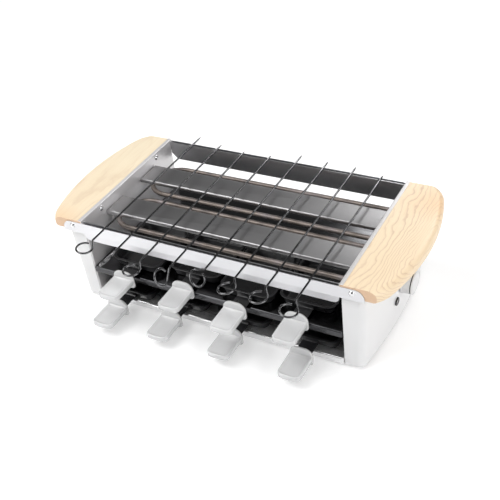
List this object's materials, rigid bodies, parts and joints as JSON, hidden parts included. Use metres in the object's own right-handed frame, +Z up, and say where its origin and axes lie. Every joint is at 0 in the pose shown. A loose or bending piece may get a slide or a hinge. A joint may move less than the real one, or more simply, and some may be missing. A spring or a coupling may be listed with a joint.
{
  "type": "raclette grill",
  "caption": "Table-top raclette grill with wooden side handles, two notched rails for turning skewers, a pan shelf under heating tubes, and small long-gripped pans that slide in.",
  "frame": {"origin": "on the table, under the middle of the whole outline in plan, skewer rings to skewer points", "axes": "+X along the skewer rails towards the knob, +Y from the pans' side to the rear, +Z up"},
  "size_m": [0.486, 0.3072, 0.1326],
  "materials": {
    "rail_steel": "polished stainless steel",
    "wall_steel": "bright sheet steel",
    "deck_black": "dark heat-proof coating",
    "deck_steel": "bright sheet steel",
    "panel_silver": "silver-white lacquer",
    "wood_beech": "pale varnished beech",
    "screw_steel": "bright plated steel",
    "foot_rubber": "black rubber",
    "tube_steel": "heat-stained tube",
    "bushing_ceramic": "white ceramic",
    "block_plastic": "cream heat-proof plastic",
    "knob_plastic": "silver-grey plastic",
    "trim_black": "black plastic",
    "lamp_lens": "smoky lens, unlit",
    "skewer_steel": "bright wire",
    "pan_coating": "black non-stick coating",
    "handle_plastic": "light grey heat-proof plastic"
  },
  "bodies": {
    "frame": {"front_rail": "rail_steel", "back_rail": "rail_steel", "base_plate": "deck_steel", "middle_shelf": "deck_black", "heat_deflector_front": "wall_steel", "heat_deflector_rear": "wall_steel", "side_panel_left": "panel_silver", "side_panel_right": "panel_silver", "side_cover_left": "wall_steel", "side_cover_right": "wall_steel", "inner_wall_left": "wall_steel", "inner_wall_right": "wall_steel", "wood_handle_left": "wood_beech", "wood_handle_right": "wood_beech", "rail_screws": "screw_steel", "handle_screws": "screw_steel", "shelf_rivets": "screw_steel", "cover_screws": "screw_steel", "feet": "foot_rubber", "heating_element_front": "tube_steel", "heating_element_rear": "tube_steel", "element_clips": "wall_steel", "element_bushings": "bushing_ceramic", "thermostat": "block_plastic", "thermostat_nut": "screw_steel", "pilot_lamp_bezel": "trim_black", "pilot_lamp": "lamp_lens", "terminal_block": "block_plastic", "cord_inlet": "foot_rubber"},
    "knob": {"knob": "knob_plastic", "thermostat_shaft": "screw_steel"},
    "skewer_1": {"skewer_1": "skewer_steel"},
    "skewer_2": {"skewer_2": "skewer_steel"},
    "skewer_3": {"skewer_3": "skewer_steel"},
    "skewer_4": {"skewer_4": "skewer_steel"},
    "skewer_5": {"skewer_5": "skewer_steel"},
    "skewer_6": {"skewer_6": "skewer_steel"},
    "skewer_7": {"skewer_7": "skewer_steel"},
    "skewer_8": {"skewer_8": "skewer_steel"},
    "pan_1": {"pan_dish_1": "pan_coating", "pan_handle_1": "handle_plastic"},
    "pan_2": {"pan_dish_2": "pan_coating", "pan_handle_2": "handle_plastic"},
    "pan_3": {"pan_dish_3": "pan_coating", "pan_handle_3": "handle_plastic"},
    "pan_4": {"pan_dish_4": "pan_coating", "pan_handle_4": "handle_plastic"},
    "pan_5": {"pan_dish_5": "pan_coating", "pan_handle_5": "handle_plastic"},
    "pan_6": {"pan_dish_6": "pan_coating", "pan_handle_6": "handle_plastic"},
    "pan_7": {"pan_dish_7": "pan_coating", "pan_handle_7": "handle_plastic"},
    "pan_8": {"pan_dish_8": "pan_coating", "pan_handle_8": "handle_plastic"}
  },
  "joints": [
    {"name": "knob_turn", "type": "hinge", "parent": "frame", "child": "knob", "pos_m": [0.21004, 0.02138, 0.0604], "axis": [0.999, 0, -0.045], "range_deg": [-135, 135]},
    {"name": "skewer_1_turn", "type": "hinge", "parent": "frame", "child": "skewer_1", "pos_m": [-0.14088, 0.02138, 0.1223], "axis": [0, 1, 0], "continuous": true},
    {"name": "skewer_2_turn", "type": "hinge", "parent": "frame", "child": "skewer_2", "pos_m": [-0.10063, 0.02138, 0.1223], "axis": [0, 1, 0], "continuous": true},
    {"name": "skewer_3_turn", "type": "hinge", "parent": "frame", "child": "skewer_3", "pos_m": [-0.06037, 0.02138, 0.1223], "axis": [0, 1, 0], "continuous": true},
    {"name": "skewer_4_turn", "type": "hinge", "parent": "frame", "child": "skewer_4", "pos_m": [-0.02013, 0.02138, 0.1223], "axis": [0, 1, 0], "continuous": true},
    {"name": "skewer_5_turn", "type": "hinge", "parent": "frame", "child": "skewer_5", "pos_m": [0.02013, 0.02138, 0.1223], "axis": [0, 1, 0], "continuous": true},
    {"name": "skewer_6_turn", "type": "hinge", "parent": "frame", "child": "skewer_6", "pos_m": [0.06037, 0.02138, 0.1223], "axis": [0, 1, 0], "continuous": true},
    {"name": "skewer_7_turn", "type": "hinge", "parent": "frame", "child": "skewer_7", "pos_m": [0.10063, 0.02138, 0.1223], "axis": [0, 1, 0], "continuous": true},
    {"name": "skewer_8_turn", "type": "hinge", "parent": "frame", "child": "skewer_8", "pos_m": [0.14088, 0.02138, 0.1223], "axis": [0, 1, 0], "continuous": true},
    {"name": "pan_1_slide", "type": "slide", "parent": "frame", "child": "pan_1", "axis": [0, -1, 0], "range_m": [-0.0108, 0.09]},
    {"name": "pan_2_slide", "type": "slide", "parent": "frame", "child": "pan_2", "axis": [0, -1, 0], "range_m": [-0.0022, 0.09]},
    {"name": "pan_3_slide", "type": "slide", "parent": "frame", "child": "pan_3", "axis": [0, -1, 0], "range_m": [-0.0127, 0.09]},
    {"name": "pan_4_slide", "type": "slide", "parent": "frame", "child": "pan_4", "axis": [0, -1, 0], "range_m": [-0.0034, 0.09]},
    {"name": "pan_5_slide", "type": "slide", "parent": "frame", "child": "pan_5", "axis": [0, -1, 0], "range_m": [-0.021, 0.09]},
    {"name": "pan_6_slide", "type": "slide", "parent": "frame", "child": "pan_6", "axis": [0, -1, 0], "range_m": [-0.0151, 0.09]},
    {"name": "pan_7_slide", "type": "slide", "parent": "frame", "child": "pan_7", "axis": [0, -1, 0], "range_m": [-0.0153, 0.09]},
    {"name": "pan_8_slide", "type": "slide", "parent": "frame", "child": "pan_8", "axis": [0, -1, 0], "range_m": [-0.0152, 0.09]}
  ]
}
